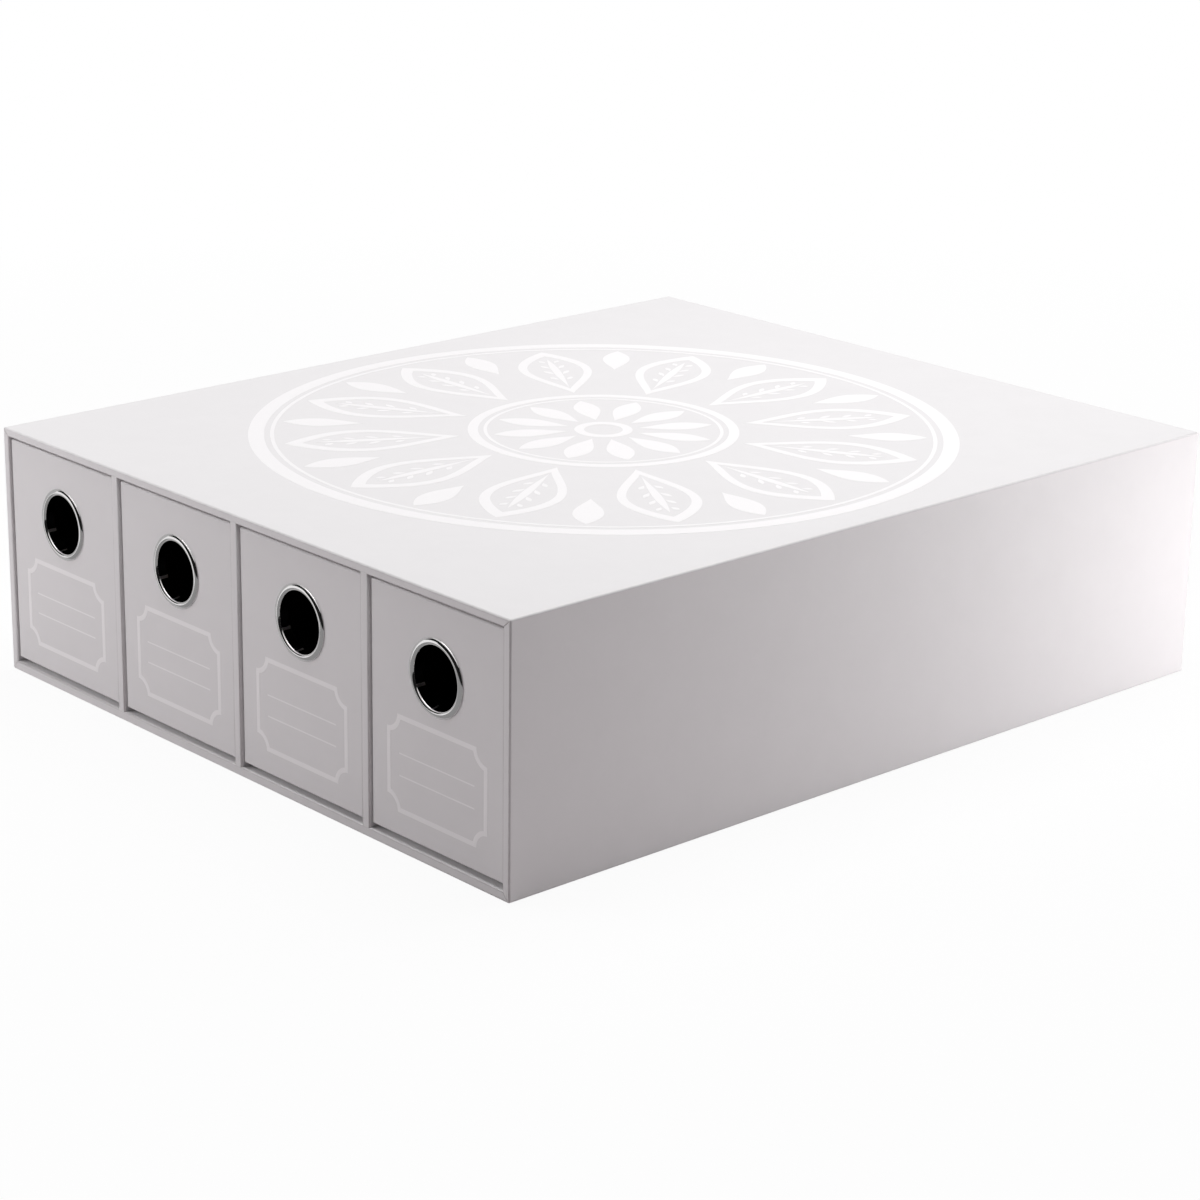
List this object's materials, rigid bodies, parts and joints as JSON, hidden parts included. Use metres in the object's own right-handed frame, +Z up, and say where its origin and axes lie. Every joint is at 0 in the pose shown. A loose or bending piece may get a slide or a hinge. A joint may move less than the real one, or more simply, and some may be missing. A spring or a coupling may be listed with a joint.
{
  "type": "trading card drawer box",
  "caption": "Low rigid board case covered in white paper, with side-by-side sliding drawers for trading cards, each pulled by a chromed finger hole.",
  "frame": {"origin": "under the middle of the box, on the surface that it stands on, with the drawers shut", "axes": "+Z up, the drawers face -Y and slide along Y, X runs across the drawers from left to right"},
  "size_m": [0.32, 0.376, 0.105],
  "materials": {
    "cover_paper": "matt laminated white cover paper with a fine tooth",
    "lining_paper": "matt black lining paper",
    "greyboard": "raw grey box board",
    "chrome": "bright chromed steel"
  },
  "bodies": {
    "case": {"bottom_board": "greyboard", "top_board": "greyboard", "left_board": "greyboard", "right_board": "greyboard", "back_board": "greyboard", "case_cover": "cover_paper", "back_sheet": "cover_paper", "base_sheet": "cover_paper", "divider_1": "greyboard", "divider_cover_1": "cover_paper", "divider_2": "greyboard", "divider_cover_2": "cover_paper", "divider_3": "greyboard", "divider_cover_3": "cover_paper", "bay_lining_1": "lining_paper", "bay_lining_2": "lining_paper", "bay_lining_3": "lining_paper", "bay_lining_4": "lining_paper"},
    "drawer_1": {"drawer_1_front": "greyboard", "drawer_1_back": "greyboard", "drawer_1_left": "greyboard", "drawer_1_right": "greyboard", "drawer_1_floor": "greyboard", "drawer_1_cover": "cover_paper", "drawer_1_lining": "lining_paper", "drawer_1_slide_plate": "lining_paper", "drawer_1_eyelet": "chrome", "drawer_1_washer": "chrome"},
    "drawer_2": {"drawer_2_front": "greyboard", "drawer_2_back": "greyboard", "drawer_2_left": "greyboard", "drawer_2_right": "greyboard", "drawer_2_floor": "greyboard", "drawer_2_cover": "cover_paper", "drawer_2_lining": "lining_paper", "drawer_2_slide_plate": "lining_paper", "drawer_2_eyelet": "chrome", "drawer_2_washer": "chrome"},
    "drawer_3": {"drawer_3_front": "greyboard", "drawer_3_back": "greyboard", "drawer_3_left": "greyboard", "drawer_3_right": "greyboard", "drawer_3_floor": "greyboard", "drawer_3_cover": "cover_paper", "drawer_3_lining": "lining_paper", "drawer_3_slide_plate": "lining_paper", "drawer_3_eyelet": "chrome", "drawer_3_washer": "chrome"},
    "drawer_4": {"drawer_4_front": "greyboard", "drawer_4_back": "greyboard", "drawer_4_left": "greyboard", "drawer_4_right": "greyboard", "drawer_4_floor": "greyboard", "drawer_4_cover": "cover_paper", "drawer_4_lining": "lining_paper", "drawer_4_slide_plate": "lining_paper", "drawer_4_eyelet": "chrome", "drawer_4_washer": "chrome"}
  },
  "joints": [
    {"name": "drawer_1_slide", "type": "slide", "parent": "case", "child": "drawer_1", "axis": [0, -1, 0], "range_m": [0, 0.33]},
    {"name": "drawer_2_slide", "type": "slide", "parent": "case", "child": "drawer_2", "axis": [0, -1, 0], "range_m": [0, 0.33]},
    {"name": "drawer_3_slide", "type": "slide", "parent": "case", "child": "drawer_3", "axis": [0, -1, 0], "range_m": [0, 0.33]},
    {"name": "drawer_4_slide", "type": "slide", "parent": "case", "child": "drawer_4", "axis": [0, -1, 0], "range_m": [0, 0.33]}
  ]
}
